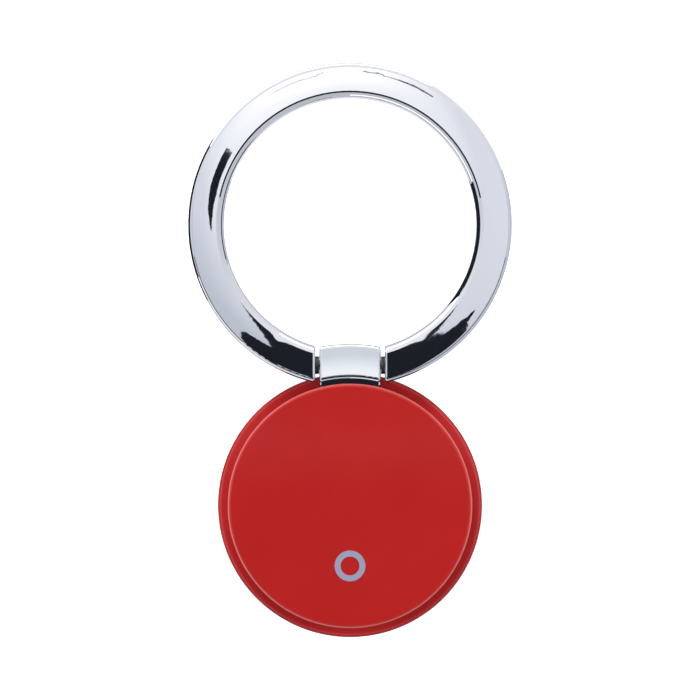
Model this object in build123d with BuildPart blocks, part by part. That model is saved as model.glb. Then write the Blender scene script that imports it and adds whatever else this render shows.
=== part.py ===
from build123d import *
from math import radians, tan
import os

# Finger-ring holder for the back of a phone. A round base is stuck to the phone, a bracket swivels
# about the base, and a C-shaped ring folds on the bracket's knuckle until it nests round the cover.
# z = 0 is the back of the adhesive pad, the face looks up, and the hinge is on the +Y side.

# Plan sizes
RING_OUTER_RADIUS = 20.5
RING_WIDTH = 4.5
NESTING_GAP = 0.5
FLANGE_RADIUS = 16.8
PAD_RADIUS = 16.3
HINGE_OFFSET = 17.8
KNUCKLE_HALF_WIDTH = 3.88
HINGE_GAP = 0.52

RING_INNER_RADIUS = RING_OUTER_RADIUS - RING_WIDTH
COVER_RADIUS = RING_INNER_RADIUS - NESTING_GAP
RING_END = KNUCKLE_HALF_WIDTH + HINGE_GAP
RING_CENTRE_Y = 2 * HINGE_OFFSET

# Thicknesses of the stack, from the phone upwards
PAD_THICKNESS = 0.5
BASE_THICKNESS = 0.9
WASHER_THICKNESS = 0.12
BRACKET_THICKNESS = 0.85
SPRING_HEIGHT = 0.5
RETAINER_THICKNESS = 0.5
TAPE_THICKNESS = 0.4
ROOF_THICKNESS = 0.75
SLIDING_GAP = 0.03
SKIRT_GAP = 0.1

BASE_TOP = PAD_THICKNESS + BASE_THICKNESS
BRACKET_BOTTOM = BASE_TOP + WASHER_THICKNESS + SLIDING_GAP
BRACKET_TOP = BRACKET_BOTTOM + BRACKET_THICKNESS
UPPER_WASHER_BOTTOM = BRACKET_TOP + SLIDING_GAP
SPRING_BOTTOM = UPPER_WASHER_BOTTOM + WASHER_THICKNESS
RETAINER_BOTTOM = SPRING_BOTTOM + SPRING_HEIGHT
RETAINER_TOP = RETAINER_BOTTOM + RETAINER_THICKNESS
ROOF_BOTTOM = RETAINER_TOP + TAPE_THICKNESS
COVER_TOP = ROOF_BOTTOM + ROOF_THICKNESS
SKIRT_BOTTOM = BRACKET_TOP + SKIRT_GAP

# Ring and knuckle section
RING_THICKNESS = 2.8
HINGE_HEIGHT = 3.45
HALF_THICKNESS = RING_THICKNESS / 2
RING_EDGE_ROUND = 0.6
CROWN_RISE = 0.05
SHOULDER_WIDTH = 0.93
SHOULDER_DROP = 0.85
SHOULDER_BULGE = 0.13
INNER_WALL_ROUND = 0.4
END_ROUND = 0.3
KNUCKLE_SLOPE = 5
KNUCKLE_FALL = 0.7
KNUCKLE_EDGE_ROUND = 0.55
ARM_RADIUS = 17.4
ARM_EDGE_ROUND = 0.25

# Swivel
HUB_RADIUS = 4.0
HUB_CLEARANCE = 0.05
TENON_RADIUS = 2.9
TENON_HALF_FLAT = 2.2
SWIVEL_PLATE_RADIUS = 11.5
FRICTION_RADIUS = 11.0
SPRING_INNER_RADIUS = 5.0
SPRING_OUTER_RADIUS = 8.5
SPRING_SHEET = 0.15
SPRING_SLACK = 0.01
SPRING_FOOT = SPRING_BOTTOM + SPRING_SLACK
SPRING_CREST = RETAINER_BOTTOM - SPRING_SLACK
RETAINER_RADIUS = 12.0
TAPE_INNER_RADIUS = 5.0
TAPE_RADIUS = 11.5
RIVET_RADIUS = 1.5
RIVET_HEAD_RADIUS = 2.6
RIVET_HEAD_ANGLE = 90
RIVET_HEAD_DEPTH = (RIVET_HEAD_RADIUS - RIVET_RADIUS) / tan(radians(RIVET_HEAD_ANGLE / 2))
RIVET_TOP_RADIUS = 4.2
RIVET_TOP_THICKNESS = 0.35

# Cover and base
SKIRT_THICKNESS = 0.9
COVER_EDGE_ROUND = 0.45
FLANGE_EDGE_ROUND = 0.4
SMALL_CHAMFER = 0.1
EMBLEM_OFFSET = -7.6
EMBLEM_RADIUS = 1.95
EMBLEM_HOLE_RADIUS = 1.2
EMBLEM_DEPTH = 0.15
EMBLEM_STAND = 0.03

# Hinge
PIN_RADIUS = 0.6
PIN_INNER_END = 1.25
PIN_OUTER_END = 6.6
SLEEVE_RADIUS = 0.9
SLEEVE_BORE_RADIUS = 0.63
SLEEVE_INNER_END = 1.35
SLEEVE_SLIT = 0.25
HINGE_WASHER_RADIUS = 1.12
HINGE_WASHER_BORE_RADIUS = 0.62
HINGE_WASHER_GAP = 0.04
COIL_RADIUS = 0.45
COIL_WIRE_RADIUS = 0.11
COIL_TURNS = 5
COIL_END_GAP = 0.03

# Planes on which the pieces stand
HINGE_PLANE = Plane((0, HINGE_OFFSET, HINGE_HEIGHT), x_dir=(0, 1, 0), z_dir=(1, 0, 0))
RING_SECTION = Plane((0, RING_CENTRE_Y, HINGE_HEIGHT), x_dir=(1, 0, 0), z_dir=(0, -1, 0))
KNUCKLE_SECTION = Plane((0, 0, HINGE_HEIGHT), x_dir=(0, 1, 0), z_dir=(1, 0, 0))


def level(height):
    """Plane of the stack at a height above the phone."""
    return Plane.XY.offset(height)


def across(distance):
    """Plane square to the hinge axis, at a distance from the holder's middle, centred on the axis."""
    return HINGE_PLANE.offset(distance)


def tenon_outline():
    """Round outline with two flats, added to the sketch being made: it keys the plate to the hub."""
    Circle(TENON_RADIUS)
    Rectangle(2 * TENON_RADIUS, 2 * TENON_HALF_FLAT, mode=Mode.INTERSECT)


# ---------------------------------------------------------------- base, fixed to the phone

with BuildPart() as adhesive_pad:
    with BuildSketch(level(0)):
        Circle(PAD_RADIUS)
    extrude(amount=PAD_THICKNESS)

with BuildPart() as base_plate:
    with BuildSketch(level(PAD_THICKNESS)):
        Circle(FLANGE_RADIUS)
    extrude(amount=BASE_THICKNESS)
    fillet(base_plate.edges().group_by(Axis.Z)[-1], FLANGE_EDGE_ROUND)
    chamfer(base_plate.edges().group_by(Axis.Z)[0], SMALL_CHAMFER)
    with BuildSketch(level(BASE_TOP)):
        Circle(HUB_RADIUS)
    extrude(amount=RETAINER_BOTTOM - BASE_TOP)
    with BuildSketch(level(RETAINER_BOTTOM)):
        tenon_outline()
    extrude(amount=RETAINER_THICKNESS)
    with Locations(Plane((0, 0, PAD_THICKNESS), z_dir=(0, 0, -1))):
        CounterSinkHole(RIVET_RADIUS, RIVET_HEAD_RADIUS, counter_sink_angle=RIVET_HEAD_ANGLE)

# The head is countersunk from below and the other end is spread over the retaining plate.
with BuildPart() as centre_rivet:
    with BuildSketch(Plane.XZ):
        with BuildLine():
            Polyline(
                (0, PAD_THICKNESS),
                (RIVET_HEAD_RADIUS, PAD_THICKNESS),
                (RIVET_RADIUS, PAD_THICKNESS + RIVET_HEAD_DEPTH),
                (RIVET_RADIUS, RETAINER_TOP),
                (RIVET_TOP_RADIUS, RETAINER_TOP),
                (RIVET_TOP_RADIUS, RETAINER_TOP + RIVET_TOP_THICKNESS),
                (0, RETAINER_TOP + RIVET_TOP_THICKNESS),
                close=True,
            )
        make_face()
    revolve(axis=Axis.Z)
    fillet(centre_rivet.edges().group_by(Axis.Z)[-1], SMALL_CHAMFER)


def friction_washer(bottom):
    """Thin slide washer that lies against one face of the bracket's plate."""
    with BuildPart() as washer:
        with BuildSketch(level(bottom)):
            Circle(FRICTION_RADIUS)
            Circle(HUB_RADIUS + HUB_CLEARANCE, mode=Mode.SUBTRACT)
        extrude(amount=WASHER_THICKNESS)
    return washer


# A flat ring bent about one diameter: it stands on two sides and presses up along its middle.
with BuildPart() as curved_spring_washer:
    with BuildSketch(Plane.XZ):
        with BuildLine():
            outer_arc = ThreePointArc(
                (-SPRING_OUTER_RADIUS, SPRING_FOOT + SPRING_SHEET),
                (0, SPRING_CREST),
                (SPRING_OUTER_RADIUS, SPRING_FOOT + SPRING_SHEET),
            )
            inner_arc = ThreePointArc(
                (-SPRING_OUTER_RADIUS, SPRING_FOOT),
                (0, SPRING_CREST - SPRING_SHEET),
                (SPRING_OUTER_RADIUS, SPRING_FOOT),
            )
            Line(outer_arc @ 0, inner_arc @ 0)
            Line(outer_arc @ 1, inner_arc @ 1)
        make_face()
    extrude(amount=SPRING_OUTER_RADIUS, both=True)
    with BuildSketch(level(SPRING_BOTTOM)):
        Circle(SPRING_OUTER_RADIUS)
        Circle(SPRING_INNER_RADIUS, mode=Mode.SUBTRACT)
    extrude(amount=SPRING_HEIGHT, mode=Mode.INTERSECT)

with BuildPart() as retaining_plate:
    with BuildSketch(level(RETAINER_BOTTOM)):
        Circle(RETAINER_RADIUS)
    extrude(amount=RETAINER_THICKNESS)
    chamfer(retaining_plate.edges().group_by(Axis.Z)[-1], SMALL_CHAMFER)
    with BuildSketch(level(RETAINER_BOTTOM)):
        tenon_outline()
    extrude(amount=RETAINER_THICKNESS, mode=Mode.SUBTRACT)

with BuildPart() as cover_tape:
    with BuildSketch(level(RETAINER_TOP)):
        Circle(TAPE_RADIUS)
        Circle(TAPE_INNER_RADIUS, mode=Mode.SUBTRACT)
    extrude(amount=TAPE_THICKNESS)

with BuildPart() as top_cover:
    with BuildSketch(level(SKIRT_BOTTOM)):
        Circle(COVER_RADIUS)
    extrude(amount=COVER_TOP - SKIRT_BOTTOM)
    fillet(top_cover.edges().group_by(Axis.Z)[-1], COVER_EDGE_ROUND)
    chamfer(top_cover.edges().group_by(Axis.Z)[0], SMALL_CHAMFER)
    with BuildSketch(level(SKIRT_BOTTOM)):
        Circle(COVER_RADIUS - SKIRT_THICKNESS)
    extrude(amount=ROOF_BOTTOM - SKIRT_BOTTOM, mode=Mode.SUBTRACT)
    with BuildSketch(level(COVER_TOP)):
        with Locations((0, EMBLEM_OFFSET)):
            Circle(EMBLEM_RADIUS)
            Circle(EMBLEM_HOLE_RADIUS, mode=Mode.SUBTRACT)
    extrude(amount=-EMBLEM_DEPTH, mode=Mode.SUBTRACT)

with BuildPart() as emblem:
    with BuildSketch(level(COVER_TOP - EMBLEM_DEPTH)):
        with Locations((0, EMBLEM_OFFSET)):
            Circle(EMBLEM_RADIUS)
            Circle(EMBLEM_HOLE_RADIUS, mode=Mode.SUBTRACT)
    extrude(amount=EMBLEM_DEPTH + EMBLEM_STAND)

# ---------------------------------------------------------------- bracket, which swivels

# Knuckle: an arc of the nested ring's circle, whose face slopes down towards its outer edge
with BuildPart() as knuckle:
    with BuildSketch(KNUCKLE_SECTION) as knuckle_profile:
        with BuildLine():
            face_arc = TangentArc(
                (RING_INNER_RADIUS, HALF_THICKNESS),
                (RING_OUTER_RADIUS, HALF_THICKNESS - KNUCKLE_FALL),
                tangent=(1, -tan(radians(KNUCKLE_SLOPE))),
            )
            Polyline(
                face_arc @ 1,
                (RING_OUTER_RADIUS, -HALF_THICKNESS),
                (RING_INNER_RADIUS, -HALF_THICKNESS),
                face_arc @ 0,
            )
        make_face()
        fillet(knuckle_profile.vertices().group_by(Axis.X)[-1], KNUCKLE_EDGE_ROUND)
        fillet(knuckle_profile.vertices().sort_by(Axis.Y)[-1], KNUCKLE_EDGE_ROUND)
    revolve(axis=Axis.Z)
    with Locations((0, HINGE_OFFSET, HINGE_HEIGHT)):
        Box(2 * KNUCKLE_HALF_WIDTH, 2 * RING_WIDTH, 2 * RING_THICKNESS, mode=Mode.INTERSECT)
    fillet(knuckle.faces().filter_by(Axis.X).edges(), END_ROUND)

# The plate turns about the hub, and its arm comes out from under the cover to carry the knuckle.
with BuildPart() as swivel_bracket:
    with BuildSketch(level(BRACKET_BOTTOM)):
        with Locations((0, ARM_RADIUS / 2)):
            Rectangle(2 * KNUCKLE_HALF_WIDTH, ARM_RADIUS)
        Circle(ARM_RADIUS, mode=Mode.INTERSECT)
        Circle(SWIVEL_PLATE_RADIUS)
        Circle(HUB_RADIUS + HUB_CLEARANCE, mode=Mode.SUBTRACT)
    extrude(amount=BRACKET_THICKNESS)
    fillet(swivel_bracket.edges().filter_by(Axis.Y), ARM_EDGE_ROUND)
    add(knuckle.part)
    with BuildSketch(across(-KNUCKLE_HALF_WIDTH)):
        Circle(SLEEVE_RADIUS)
    extrude(amount=2 * KNUCKLE_HALF_WIDTH, mode=Mode.SUBTRACT)


def friction_sleeve(side):
    """Rolled sleeve in the knuckle, open along one line: side is 1 on the right and -1 on the left."""
    with BuildPart() as sleeve:
        with BuildSketch(across(side * SLEEVE_INNER_END)):
            Circle(SLEEVE_RADIUS)
            Circle(SLEEVE_BORE_RADIUS, mode=Mode.SUBTRACT)
            with Locations((0, -SLEEVE_RADIUS)):
                Rectangle(SLEEVE_SLIT, 2 * SLEEVE_RADIUS, mode=Mode.SUBTRACT)
        extrude(amount=side * (KNUCKLE_HALF_WIDTH - SLEEVE_INNER_END))
    return sleeve


coil_length = 2 * (PIN_INNER_END - COIL_END_GAP - COIL_WIRE_RADIUS)
with BuildPart() as hinge_spring:
    with BuildLine() as coil:
        Helix(
            pitch=coil_length / COIL_TURNS,
            height=coil_length,
            radius=COIL_RADIUS,
            center=(-coil_length / 2, HINGE_OFFSET, HINGE_HEIGHT),
            direction=(1, 0, 0),
        )
    with BuildSketch(Plane(origin=coil.line @ 0, z_dir=coil.line % 0)):
        Circle(COIL_WIRE_RADIUS)
    sweep(is_frenet=True)

# ---------------------------------------------------------------- ring, which folds

with BuildPart() as finger_ring:
    # Section: a slightly crowned face, a crease, a round shoulder down to a short inner wall
    with BuildSketch(RING_SECTION) as ring_profile:
        with BuildLine():
            crease = (RING_INNER_RADIUS + SHOULDER_WIDTH, HALF_THICKNESS - CROWN_RISE)
            shoulder_foot = (RING_INNER_RADIUS, HALF_THICKNESS - CROWN_RISE - SHOULDER_DROP)
            Line((RING_OUTER_RADIUS, 0), (RING_OUTER_RADIUS, HALF_THICKNESS - CROWN_RISE))
            ThreePointArc(
                (RING_OUTER_RADIUS, HALF_THICKNESS - CROWN_RISE),
                ((RING_OUTER_RADIUS + crease[0]) / 2, HALF_THICKNESS),
                crease,
            )
            SagittaArc(crease, shoulder_foot, -SHOULDER_BULGE)
            Line(shoulder_foot, (RING_INNER_RADIUS, 0))
            mirror(about=Plane.XZ)
        make_face()
        fillet(ring_profile.vertices().group_by(Axis.X)[-1], RING_EDGE_ROUND)
        fillet(ring_profile.vertices().group_by(Axis.X)[0], INNER_WALL_ROUND)
    revolve(axis=Axis((0, RING_CENTRE_Y, 0), (0, 0, 1)))
    with Locations((0, HINGE_OFFSET, HINGE_HEIGHT)):
        Box(2 * RING_END, 2 * RING_WIDTH, 2 * RING_THICKNESS, mode=Mode.SUBTRACT)
    fillet(finger_ring.faces().filter_by(Axis.X).edges(), END_ROUND)
    for side in (1, -1):
        with BuildSketch(across(side * RING_END)):
            Circle(PIN_RADIUS)
        extrude(amount=side * (PIN_OUTER_END - RING_END), mode=Mode.SUBTRACT)


def hinge_pin(side):
    """Pin from inside the knuckle to the bottom of the ring's blind hole, on one side."""
    with BuildPart() as pin:
        with BuildSketch(across(side * PIN_INNER_END)):
            Circle(PIN_RADIUS)
        extrude(amount=side * (PIN_OUTER_END - PIN_INNER_END))
        chamfer(pin.edges().filter_by(GeomType.CIRCLE), SMALL_CHAMFER)
    return pin


def hinge_washer(side):
    """Washer that fills the gap between the knuckle and the ring's end, on one side."""
    with BuildPart() as washer:
        with BuildSketch(across(side * RING_END)):
            Circle(HINGE_WASHER_RADIUS)
            Circle(HINGE_WASHER_BORE_RADIUS, mode=Mode.SUBTRACT)
        extrude(amount=-side * (HINGE_GAP - HINGE_WASHER_GAP))
    return washer


# ---------------------------------------------------------------- pieces

pieces = {
    "adhesive_pad": adhesive_pad,
    "base_plate": base_plate,
    "centre_rivet": centre_rivet,
    "lower_friction_washer": friction_washer(BASE_TOP),
    "upper_friction_washer": friction_washer(UPPER_WASHER_BOTTOM),
    "curved_spring_washer": curved_spring_washer,
    "retaining_plate": retaining_plate,
    "cover_tape": cover_tape,
    "top_cover": top_cover,
    "emblem": emblem,
    "swivel_bracket": swivel_bracket,
    "friction_sleeve_left": friction_sleeve(-1),
    "friction_sleeve_right": friction_sleeve(1),
    "hinge_spring": hinge_spring,
    "finger_ring": finger_ring,
    "hinge_pin_left": hinge_pin(-1),
    "hinge_pin_right": hinge_pin(1),
    "hinge_washer_left": hinge_washer(-1),
    "hinge_washer_right": hinge_washer(1),
}

os.makedirs("parts", exist_ok=True)
for name, piece in pieces.items():
    piece.part.label = name
    export_step(piece.part, f"parts/{name}.step")
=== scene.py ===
import bpy
import math
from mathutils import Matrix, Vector


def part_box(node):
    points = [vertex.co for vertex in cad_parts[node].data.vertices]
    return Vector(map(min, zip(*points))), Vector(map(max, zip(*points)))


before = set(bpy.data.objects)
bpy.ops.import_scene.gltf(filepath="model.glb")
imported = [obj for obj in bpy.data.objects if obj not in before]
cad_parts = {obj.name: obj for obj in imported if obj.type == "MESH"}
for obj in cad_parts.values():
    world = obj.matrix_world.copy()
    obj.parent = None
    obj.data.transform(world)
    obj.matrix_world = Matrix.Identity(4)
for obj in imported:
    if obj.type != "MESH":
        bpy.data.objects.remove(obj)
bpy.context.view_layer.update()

MM = 0.001
MICRON = 0.000001

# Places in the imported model, in metres
ring_low, ring_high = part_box("finger_ring")
ring_centre_y = (ring_low.y + ring_high.y) / 2
cover_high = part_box("top_cover")[1]
plate_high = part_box("base_plate")[1]
flange_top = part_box("lower_friction_washer")[0].z

# Camera: straight above the open holder
VIEW_WIDTH = 89.15 * MM
CAMERA_HEIGHT = 0.7
AIM_Y = 19.72 * MM

# Painted highlight on the rounded red edges, a paler line in the base colour: how far in from the
# outside, and how far it shades off
COVER_HIGHLIGHT_INSET = 0.1 * MM
FLANGE_HIGHLIGHT_INSET = 0.34 * MM
HIGHLIGHT_REACH = 0.28 * MM

# Light tent: a low lit roof with flags under it, and panels on circles round the object
ROOF_HEIGHT = 120 * MM
FLAG_DROP = 1 * MM
HINGE_CLOTH_HEIGHT = 60 * MM
POOL_CENTRE = (-6 * MM, 70 * MM)
POOL_SQUEEZE = 0.75
PANEL_DISTANCE = 0.3
WALL_DISTANCE = 1.2
WALL_HEIGHT = 2.0
FRONT_PANEL_HEIGHTS = (240 * MM, 440 * MM)

# Table: the floor is just below the pad, and the cards on it lie between the two
FLOOR_HALF = 3.0
FLOOR_GAP = 0.05 * MM
TABLE_TINT_HEIGHT = -0.03 * MM
TABLE_TINT_REACH = 600 * MM
SHADE_HEIGHT = -0.01 * MM
LEFT_SHADE_REACH = (22 * MM, 300 * MM)

# Painted shade: black sheets between the disc and the knuckle, seen only in reflections, in place of the
# shadow in that gap; and an upright flag inside the ring's hole
SHADE_AZIMUTHS = (50, 130)
SHADE_GAP = 0.04 * MM
COVER_SHADE_RADIUS = 15.75 * MM
FLANGE_SHADE_RADII = (14.6 * MM, 17.4 * MM)
HOLE_FLAG_X = 9 * MM
HOLE_FLAG_HEIGHT = 6 * MM
HOLE_FLAG_FAR_Y = 38.8 * MM
HOLE_FLAG_NEAR_Y = 27.4 * MM
HOLE_FLAG_SLANT = 2.4 * MM

# Softboxes: size and power of each
SIDE_BOX = (0.25, 0.3)
SIDE_POWER = 1.4
BACK_BOX = (0.4, 0.2)
BACK_POWER = 2.0


# ---------------------------------------------------------------- material helpers

def new_material(name, shader_type="ShaderNodeBsdfPrincipled"):
    """Node material of one shader: returns it, its tree, its shader and object-space coordinates."""
    material = bpy.data.materials.new(name)
    material.use_nodes = True
    tree = material.node_tree
    tree.nodes.clear()
    output = tree.nodes.new("ShaderNodeOutputMaterial")
    shader = tree.nodes.new(shader_type)
    tree.links.new(shader.outputs[0], output.inputs["Surface"])
    coordinates = tree.nodes.new("ShaderNodeTexCoord")
    return material, tree, shader, coordinates.outputs["Object"]


def noise(tree, source, scale, detail=3.0, roughness=0.5):
    """Noise of about 1 / scale metres between its lumps."""
    node = tree.nodes.new("ShaderNodeTexNoise")
    node.inputs["Scale"].default_value = scale
    node.inputs["Detail"].default_value = detail
    node.inputs["Roughness"].default_value = roughness
    tree.links.new(source, node.inputs["Vector"])
    return node.outputs["Fac"]


def remap(tree, value, low, high, from_low=0.3, from_high=0.7):
    """Value stretched from one range to another and held at its ends."""
    node = tree.nodes.new("ShaderNodeMapRange")
    node.inputs["From Min"].default_value = from_low
    node.inputs["From Max"].default_value = from_high
    node.inputs["To Min"].default_value = low
    node.inputs["To Max"].default_value = high
    tree.links.new(value, node.inputs["Value"])
    return node.outputs["Result"]


def ramp(tree, value, *stops):
    """Colour ramp: each stop is a place from 0 to 1 and a colour."""
    node = tree.nodes.new("ShaderNodeValToRGB")
    elements = node.color_ramp.elements
    while len(elements) < len(stops):
        elements.new(0.5)
    for element, (place, colour) in zip(elements, stops):
        element.position = place
        element.color = (*colour, 1)
    tree.links.new(value, node.inputs["Fac"])
    return node.outputs["Color"]


def mottled(tree, value, dark, light):
    """Colour that wanders between two tones with a noise value."""
    return ramp(tree, value, (0.3, dark), (0.7, light))


def stretched(tree, source, scale):
    """Coordinates scaled by axis, for grain that runs one way."""
    node = tree.nodes.new("ShaderNodeMapping")
    node.inputs["Scale"].default_value = scale
    tree.links.new(source, node.inputs["Vector"])
    return node.outputs["Vector"]


def distance_from(tree, place, centre):
    node = tree.nodes.new("ShaderNodeVectorMath")
    node.operation = "DISTANCE"
    node.inputs[1].default_value = centre
    tree.links.new(place, node.inputs[0])
    return node.outputs["Value"]


def axis_distance(tree, source):
    """Distance from the swivel axis."""
    return distance_from(tree, stretched(tree, source, (1, 1, 0)), (0, 0, 0))


def turned(tree, source):
    """Distance from the swivel axis as a vector's first axis, for lathe-turned marks."""
    joined = tree.nodes.new("ShaderNodeCombineXYZ")
    tree.links.new(axis_distance(tree, source), joined.inputs["X"])
    return joined.outputs["Vector"]


def mixed(tree, factor, first, second):
    """Colour blended from a first colour output to a second plain colour."""
    node = tree.nodes.new("ShaderNodeMixRGB")
    node.inputs["Color2"].default_value = (*second, 1)
    tree.links.new(factor, node.inputs["Fac"])
    tree.links.new(first, node.inputs["Color1"])
    return node.outputs["Color"]


def bump(tree, shader, height, distance, below=None):
    """Bump of a height in metres, over the bump below it if there is one."""
    node = tree.nodes.new("ShaderNodeBump")
    node.inputs["Distance"].default_value = distance
    tree.links.new(height, node.inputs["Height"])
    if below:
        tree.links.new(below.outputs["Normal"], node.inputs["Normal"])
    tree.links.new(node.outputs["Normal"], shader.inputs["Normal"])
    return node


# ---------------------------------------------------------------- materials

def chrome():
    """Polished plating: a slight ripple, a faint haze in patches and hairline wiping marks."""
    material, tree, shader, place = new_material("polished_chrome")
    shader.inputs["Metallic"].default_value = 1.0
    shader.inputs["Base Color"].default_value = (0.93, 0.94, 0.96, 1)
    haze = remap(tree, noise(tree, place, 160), 0.01, 0.035)
    tree.links.new(haze, shader.inputs["Roughness"])
    ripple = bump(tree, shader, noise(tree, place, 900, detail=2.0), 1.6 * MICRON)
    hairlines = noise(tree, stretched(tree, place, (1, 14, 14)), 1500, detail=4.0)
    bump(tree, shader, hairlines, 0.02 * MICRON, below=ripple)
    return material


def painted_highlight_line(tree, radius, highlight_radius):
    """Strength of the painted highlight line at a radius: a faint skirt inside it, then the line itself.
    """
    across = remap(tree, radius, 0, 1, highlight_radius - HIGHLIGHT_REACH, highlight_radius + HIGHLIGHT_REACH)
    faint = (0.17, 0.17, 0.17)
    return ramp(
        tree, across,
        (0.0, (0, 0, 0)),
        (0.16, faint),
        (0.3, faint),
        (0.46, (1, 1, 1)),
        (0.53, (1, 1, 1)),
        (0.62, (0, 0, 0)),
    )


def red_satin(name, dark, light, edge, highlight_radius, rim_shade_colour):
    """Satin red coating: fine grain, a clear top layer, a painted highlight line on the rounded edge and
    painted shade on the outer rounding beyond it.
    """
    material, tree, shader, place = new_material(name)
    colour = mottled(tree, noise(tree, place, 90, detail=4.0), dark, light)
    radius = axis_distance(tree, place)
    # Painted shade: the base colour darkens on the outer rounding, past the highlight line
    rim_shade_start = highlight_radius + 0.3 * HIGHLIGHT_REACH
    rim_shade_end = highlight_radius + 0.7 * HIGHLIGHT_REACH
    rim_shaded = mixed(tree, remap(tree, radius, 0, 1, rim_shade_start, rim_shade_end), colour, rim_shade_colour)
    # Painted highlight: the paler line is mixed into the base colour
    highlighted = mixed(tree, painted_highlight_line(tree, radius, highlight_radius), rim_shaded, edge)
    tree.links.new(highlighted, shader.inputs["Base Color"])
    grain = noise(tree, place, 9000, detail=2.0)
    tree.links.new(remap(tree, grain, 0.36, 0.46), shader.inputs["Roughness"])
    shader.inputs["Specular IOR Level"].default_value = 0.1
    shader.inputs["Coat Weight"].default_value = 0.5
    shader.inputs["Coat Roughness"].default_value = 0.13
    peel = bump(tree, shader, noise(tree, place, 1300, detail=2.0), 0.8 * MICRON)
    bump(tree, shader, grain, 0.7 * MICRON, below=peel)
    return material


def silver():
    """Foil-bright mark with fine brushing across it."""
    material, tree, shader, place = new_material("emblem_silver")
    brushing = noise(tree, stretched(tree, place, (1, 16, 1)), 2500, detail=3.0)
    colour = mottled(tree, brushing, (0.46, 0.48, 0.67), (0.56, 0.58, 0.77))
    tree.links.new(colour, shader.inputs["Base Color"])
    shader.inputs["Metallic"].default_value = 0.7
    tree.links.new(remap(tree, brushing, 0.38, 0.5), shader.inputs["Roughness"])
    bump(tree, shader, brushing, 0.5 * MICRON)
    return material


def turned_metal(name, dark, light, roughness):
    """Metal turned or stamped about the swivel axis, with concentric marks and a mottled tone."""
    material, tree, shader, place = new_material(name)
    rings = noise(tree, turned(tree, place), 7000, detail=4.0, roughness=0.7)
    tone = noise(tree, place, 350, detail=4.0)
    tree.links.new(mottled(tree, tone, dark, light), shader.inputs["Base Color"])
    shader.inputs["Metallic"].default_value = 1.0
    gloss = remap(tree, rings, roughness - 0.06, roughness + 0.08)
    tree.links.new(gloss, shader.inputs["Roughness"])
    bump(tree, shader, rings, 1 * MICRON)
    return material


def drawn_metal(name, dark, light, roughness):
    """Drawn or rolled metal of the hinge, with fine lines round the hinge axis."""
    material, tree, shader, place = new_material(name)
    lines = noise(tree, stretched(tree, place, (1, 0.05, 0.05)), 12000, detail=3.0)
    tone = noise(tree, place, 900, detail=3.0)
    tree.links.new(mottled(tree, tone, dark, light), shader.inputs["Base Color"])
    shader.inputs["Metallic"].default_value = 1.0
    gloss = remap(tree, lines, roughness - 0.05, roughness + 0.07)
    tree.links.new(gloss, shader.inputs["Roughness"])
    bump(tree, shader, lines, 0.6 * MICRON)
    return material


def moulded(name, dark, light, roughness, grain_scale, grain_height):
    """Matt plastic, foam or rubber: mottled tone, uneven gloss and a grain of its own size."""
    material, tree, shader, place = new_material(name)
    tone = noise(tree, place, grain_scale / 12, detail=4.0)
    grain = noise(tree, place, grain_scale, detail=3.0, roughness=0.6)
    tree.links.new(mottled(tree, tone, dark, light), shader.inputs["Base Color"])
    gloss = remap(tree, grain, roughness - 0.08, roughness + 0.08)
    tree.links.new(gloss, shader.inputs["Roughness"])
    shader.inputs["Specular IOR Level"].default_value = 0.4
    bump(tree, shader, grain, grain_height)
    return material


finishes = {
    chrome(): ["finger_ring", "swivel_bracket"],
    # Third colour of each red: its painted highlight line; last colour: its painted shade on the outer
    # rounding
    red_satin(
        "red_cover", (0.41, 0.0105, 0.0095), (0.44, 0.013, 0.0115), (0.66, 0.145, 0.13),
        cover_high.x - COVER_HIGHLIGHT_INSET, (0.4, 0.012, 0.011),
    ): ["top_cover"],
    # Painted light: the flange's red is lighter than the cover's, making up for the shade the cover's
    # wall casts on it
    red_satin(
        "red_flange_painted_lighter", (0.52, 0.018, 0.018), (0.56, 0.021, 0.021), (0.62, 0.055, 0.05),
        plate_high.x - FLANGE_HIGHLIGHT_INSET, (0.26, 0.01, 0.009),
    ): ["base_plate"],
    silver(): ["emblem"],
    turned_metal("turned_steel", (0.52, 0.52, 0.53), (0.64, 0.64, 0.65), 0.28): [
        "centre_rivet", "retaining_plate",
    ],
    turned_metal("spring_strip", (0.38, 0.37, 0.37), (0.5, 0.49, 0.5), 0.22): [
        "curved_spring_washer",
    ],
    drawn_metal("hinge_steel", (0.55, 0.55, 0.57), (0.66, 0.66, 0.68), 0.2): [
        "hinge_pin_left", "hinge_pin_right",
    ],
    drawn_metal("spring_wire", (0.4, 0.39, 0.39), (0.52, 0.51, 0.51), 0.24): ["hinge_spring"],
    drawn_metal("phosphor_bronze", (0.5, 0.3, 0.14), (0.66, 0.43, 0.22), 0.3): [
        "friction_sleeve_left", "friction_sleeve_right",
    ],
    moulded("slide_washer_white", (0.76, 0.75, 0.71), (0.86, 0.85, 0.82), 0.42, 6000, 1.5 * MICRON): [
        "lower_friction_washer", "upper_friction_washer",
    ],
    moulded("hinge_washer_black", (0.012, 0.013, 0.016), (0.035, 0.036, 0.04), 0.36, 7000, 2 * MICRON): [
        "hinge_washer_left", "hinge_washer_right",
    ],
    moulded("foam_adhesive", (0.05, 0.05, 0.055), (0.09, 0.09, 0.095), 0.62, 2600, 8 * MICRON): [
        "adhesive_pad",
    ],
    moulded("bonding_tape", (0.09, 0.09, 0.09), (0.15, 0.15, 0.145), 0.55, 3500, 4 * MICRON): [
        "cover_tape",
    ],
}
for material, nodes in finishes.items():
    for node in nodes:
        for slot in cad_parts[node].material_slots:
            slot.material = material


# ---------------------------------------------------------------- light tent

def plain_emission(name, colour, strength=1.0):
    material, _, shader, _ = new_material(name, "ShaderNodeEmission")
    shader.inputs["Color"].default_value = (*colour, 1)
    shader.inputs["Strength"].default_value = strength
    return material


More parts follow.
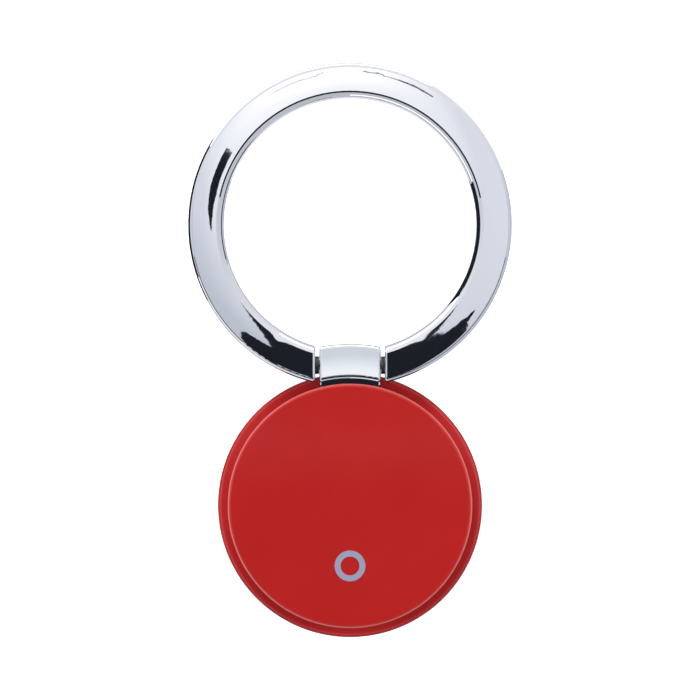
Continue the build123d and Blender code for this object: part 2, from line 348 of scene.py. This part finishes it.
def blend_along(tree, place, direction, start, end):
    """0 to 1 as the place goes from start to end, in metres along a direction."""
    along = tree.nodes.new("ShaderNodeVectorMath")
    along.operation = "DOT_PRODUCT"
    along.inputs[1].default_value = Vector(direction).normalized()
    tree.links.new(place, along.inputs[0])
    return remap(tree, along.outputs["Value"], 0, 1, start, end)


def roof_cloth():
    """Lit roof: grey cloth, darker to the left, with a pool of white over the far half of the ring."""
    material, tree, shader, place = new_material("roof_cloth", "ShaderNodeEmission")
    across = blend_along(tree, place, (0.35, 1, 0), 16 * MM, 44 * MM)
    grey = ramp(
        tree, across,
        (0.0, (0.53, 0.56, 0.63)),
        (0.3, (0.605, 0.635, 0.71)),
        (0.5, (0.68, 0.705, 0.78)),
        (1.0, (0.735, 0.755, 0.825)),
    )
    oval = stretched(tree, place, (1, POOL_SQUEEZE, 1))
    centre = (POOL_CENTRE[0], POOL_CENTRE[1] * POOL_SQUEEZE, ROOF_HEIGHT)
    pool = remap(tree, distance_from(tree, oval, centre), 1, 0, 12 * MM, 27 * MM)
    tree.links.new(mixed(tree, pool, grey, (1.08, 1.08, 1.1)), shader.inputs["Color"])
    return material


def hinge_cloth():
    """Small low cloth over the hinge: white in the middle, shading to grey on the ring's side."""
    material, tree, shader, place = new_material("hinge_cloth", "ShaderNodeEmission")
    distance = distance_from(tree, place, (0, 0, HINGE_CLOTH_HEIGHT))
    colour = ramp(
        tree, remap(tree, distance, 0, 1, 24 * MM, 47 * MM),
        (0.1, (0.8, 0.83, 0.88)),
        (0.28, (0.93, 0.95, 0.97)),
        (0.5, (0.78, 0.82, 0.88)),
        (0.72, (0.65, 0.69, 0.73)),
        (0.95, (0.64, 0.68, 0.71)),
    )
    tree.links.new(colour, shader.inputs["Color"])
    return material


def wall_cloth():
    """Far wall of the tent: grey in front of the disc, white behind the ring."""
    material, tree, shader, place = new_material("wall_cloth", "ShaderNodeEmission")
    along = blend_along(tree, place, (-0.2, 1, 0), -WALL_DISTANCE, WALL_DISTANCE)
    colour = ramp(
        tree, along,
        (0.0, (0.5, 0.52, 0.57)),
        (0.5, (0.6, 0.62, 0.68)),
        (1.0, (0.86, 0.87, 0.88)),
    )
    tree.links.new(colour, shader.inputs["Color"])
    return material


def card(name, corners, faces, material):
    """Part of the light tent, or a black sheet of painted shade, seen only in the gloss of the object.
    """
    mesh = bpy.data.meshes.new(name)
    mesh.from_pydata(corners, [], faces)
    mesh.materials.append(material)
    piece = bpy.data.objects.new(name, mesh)
    bpy.context.scene.collection.objects.link(piece)
    piece.visible_camera = False
    piece.visible_diffuse = False
    piece.visible_shadow = False
    piece.visible_transmission = False


def roof_card(name, outline, material, height=ROOF_HEIGHT - FLAG_DROP):
    """Level card with an outline in millimetres."""
    corners = [(x * MM, y * MM, height) for x, y in outline]
    card(name, corners, [tuple(range(len(corners)))], material)


def ellipse(centre, radii, points=48):
    outline = []
    for i in range(points):
        angle = 2 * math.pi * i / points
        x = centre[0] + radii[0] * math.cos(angle)
        y = centre[1] + radii[1] * math.sin(angle)
        outline.append((x, y))
    return outline


def curved_card(name, azimuths, edges, material, centre_y=ring_centre_y, steps=24):
    """Strip between two arcs, round the ring's centre as a rule: each edge is a radius and a height."""
    corners = []
    for i in range(steps + 1):
        angle = math.radians(azimuths[0] + (azimuths[1] - azimuths[0]) * i / steps)
        for radius, height in edges:
            corners.append((radius * math.cos(angle), centre_y + radius * math.sin(angle), height))
    faces = [(2 * i, 2 * i + 2, 2 * i + 3, 2 * i + 1) for i in range(steps)]
    card(name, corners, faces, material)


def side_panel(name, azimuths, heights, material, distance=PANEL_DISTANCE, steps=16):
    """Upright curved panel between two heights."""
    edges = [(distance, height) for height in heights]
    curved_card(name, azimuths, edges, material, steps=steps)


def floor_card(name, azimuths, distances, material, height=TABLE_TINT_HEIGHT):
    """Level sector on the table, seen only in reflections."""
    edges = [(distance, height) for distance in distances]
    curved_card(name, azimuths, edges, material)


black = plain_emission("flag_black", (0.012, 0.014, 0.02))
white = plain_emission("strip_white", (1.15, 1.15, 1.15))
bright = plain_emission("strip_bright", (1, 1, 1), strength=4)
table_grey = plain_emission("table_grey", (0.5, 0.51, 0.6))
table_pale = plain_emission("table_pale", (0.82, 0.82, 0.86))

# Roof and the flags under it
roof_card("roof", ellipse((0, 45), (80, 95)), roof_cloth(), height=ROOF_HEIGHT)
roof_card("hinge_cloth", [
    (-7.5, 25), (0, 26.3), (7.5, 25), (10, 42.5), (6, 46.5), (-6, 46.5), (-10, 42.5),
], hinge_cloth(), height=HINGE_CLOTH_HEIGHT)
roof_card("lens_flag", [
    (-6.7, 34.5), (-2.6, 31), (2.6, 31), (3.6, 40), (5.2, 41), (7, 35), (7, 29), (12, 24.5),
    (21.5, 23.8), (20.5, 20.5), (21.5, 17), (19, 12.5), (8, 7), (-8, 7.8), (-17, 11.5),
    (-20.5, 17), (-18.2, 20.2), (-10.5, 22), (-7.5, 30),
], black)
roof_card("disc_flag", [
    (-26, 3.5), (26, 3.5), (30, -20), (24, -50), (0, -62), (-24, -50), (-30, -20),
], black)
roof_card("strap_flag", [
    (-16.2, 48.2), (-9.5, 44), (-10.5, 40), (-12.2, 37.2), (-16.5, 40), (-17.8, 43.5),
], black)
roof_card("seam", [
    (14.6, 60.6), (11.6, 63), (6.9, 64.1), (2.3, 64.7), (2.3, 64.3), (6.8, 63.5), (10.7, 61.5),
    (14, 59.7),
], black)
roof_card("left_seam", [
    (-4.6, 64.3), (-9, 63.3), (-13.3, 61.3), (-13.1, 61), (-8.9, 62.9), (-4.6, 64.1),
], black)

# Walls and upright panels, by azimuth from +X
side_panel("far_wall", (0, 360), (0, WALL_HEIGHT), wall_cloth(), distance=WALL_DISTANCE, steps=48)
side_panel("left_panel", (145, 198), (0, 110 * MM), black)
side_panel("right_strip", (198, 270), (15 * MM, 90 * MM), white)
side_panel("edge_strip", (58, 150), (35 * MM, 85 * MM), bright)
side_panel("front_panel", (190, 350), FRONT_PANEL_HEIGHTS, black)

# Table tints and shades
floor_card("table_front", (160, 380), (0, TABLE_TINT_REACH), table_grey)
floor_card("table_back", (20, 160), (0, TABLE_TINT_REACH), table_pale)
floor_card("left_shade", (148, 208), LEFT_SHADE_REACH, black, height=SHADE_HEIGHT)
card("hole_flag", [
    (HOLE_FLAG_X, HOLE_FLAG_NEAR_Y, 0),
    (HOLE_FLAG_X, HOLE_FLAG_FAR_Y, 0),
    (HOLE_FLAG_X, HOLE_FLAG_FAR_Y, HOLE_FLAG_HEIGHT),
    (HOLE_FLAG_X, HOLE_FLAG_NEAR_Y + HOLE_FLAG_SLANT, HOLE_FLAG_HEIGHT),
], [(0, 1, 2, 3)], black)
# Painted shade: black sheets in the gap between the cover and the knuckle, and just above the flange
# below it
cover_shade_edges = [(COVER_SHADE_RADIUS, flange_top), (COVER_SHADE_RADIUS, cover_high.z - SHADE_GAP)]
flange_shade_edges = [(radius, flange_top + SHADE_GAP) for radius in FLANGE_SHADE_RADII]
curved_card("cover_shade", SHADE_AZIMUTHS, cover_shade_edges, black, centre_y=0, steps=16)
curved_card("flange_shade", SHADE_AZIMUTHS, flange_shade_edges, black, centre_y=0)


# ---------------------------------------------------------------- light and table

def tent_air():
    """World: soft even light, a little stronger from behind the ring."""
    world = bpy.data.worlds.new("tent")
    bpy.context.scene.world = world
    world.use_nodes = True
    tree = world.node_tree
    background = tree.nodes["Background"]
    coordinates = tree.nodes.new("ShaderNodeTexCoord")
    along = blend_along(tree, coordinates.outputs["Generated"], (-0.2, 1, 0), -1.0, 1.0)
    colour = ramp(
        tree, along,
        (0.0, (0.35, 0.36, 0.38)),
        (0.5, (0.74, 0.76, 0.79)),
        (1.0, (1.1, 1.1, 1.1)),
    )
    tree.links.new(colour, background.inputs["Color"])
    background.inputs["Strength"].default_value = 0.5


def softbox(name, place, size, power):
    """Lamp that lights the paint but isn't mirrored in the chrome."""
    light = bpy.data.lights.new(name, "AREA")
    light.shape = "RECTANGLE"
    light.size, light.size_y = size
    light.energy = power
    lamp = bpy.data.objects.new(name, light)
    lamp.location = place
    lamp.visible_glossy = False
    target = Vector((0, AIM_Y, 0))
    lamp.rotation_euler = (target - Vector(place)).to_track_quat("-Z", "Y").to_euler()
    bpy.context.scene.collection.objects.link(lamp)


def floor():
    """Plain white table, lit a little from within so that it stays white right up to the object."""
    material, _, shader, _ = new_material("floor_white")
    shader.inputs["Base Color"].default_value = (0.92, 0.92, 0.92, 1)
    shader.inputs["Roughness"].default_value = 0.9
    shader.inputs["Emission Color"].default_value = (1, 1, 1, 1)
    shader.inputs["Emission Strength"].default_value = 0.7
    mesh = bpy.data.meshes.new("floor")
    corners = [(x * FLOOR_HALF, y * FLOOR_HALF, 0) for x, y in ((-1, -1), (1, -1), (1, 1), (-1, 1))]
    mesh.from_pydata(corners, [], [(0, 1, 2, 3)])
    mesh.materials.append(material)
    piece = bpy.data.objects.new("floor", mesh)
    piece.location.z = -FLOOR_GAP
    bpy.context.scene.collection.objects.link(piece)


tent_air()
softbox("left_softbox", (-0.45, 0.0, 0.3), SIDE_BOX, SIDE_POWER)
softbox("right_softbox", (0.45, 0.0, 0.3), SIDE_BOX, SIDE_POWER)
softbox("back_softbox", (-0.14, 0.5, 0.36), BACK_BOX, BACK_POWER)
floor()


# ---------------------------------------------------------------- camera

camera_data = bpy.data.cameras.new("camera")
camera_data.angle = 2 * math.atan(VIEW_WIDTH / 2 / CAMERA_HEIGHT)
camera = bpy.data.objects.new("camera", camera_data)
camera.location = (0, AIM_Y, CAMERA_HEIGHT)
bpy.context.scene.collection.objects.link(camera)
bpy.context.scene.camera = camera
bpy.context.scene.view_settings.view_transform = "Standard"
